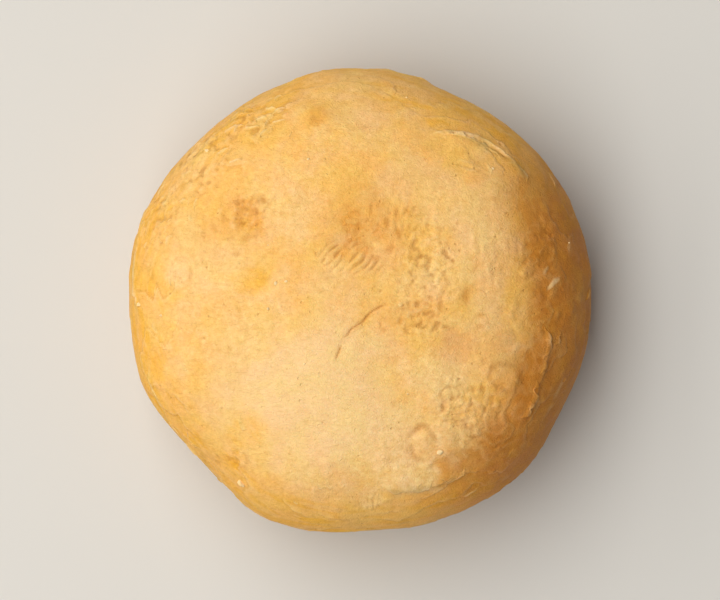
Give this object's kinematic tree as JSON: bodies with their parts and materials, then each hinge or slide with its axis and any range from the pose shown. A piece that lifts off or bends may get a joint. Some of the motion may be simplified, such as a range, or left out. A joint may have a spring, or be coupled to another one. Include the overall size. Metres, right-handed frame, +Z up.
{
  "type": "pine nut pastry",
  "caption": "Small round filled pastry, whole and uncut: a squat puck of baked flaky crust with soft shoulders, a gently domed mottled top, lifted edges of papery skin and a flat base.",
  "frame": {"origin": "middle of the flat base, on the surface the pastry rests on", "axes": "+Z up through the domed top; +X to the right and +Y to the top of the reference view, which looks straight down"},
  "size_m": [0.058, 0.058, 0.028],
  "materials": {
    "crust": "baked flaky crust, matt to satin, cream at the sides and golden to tan on the faces that lay on the hot tray"
  },
  "bodies": {
    "root": {"pastry": "crust"}
  },
  "joints": []
}
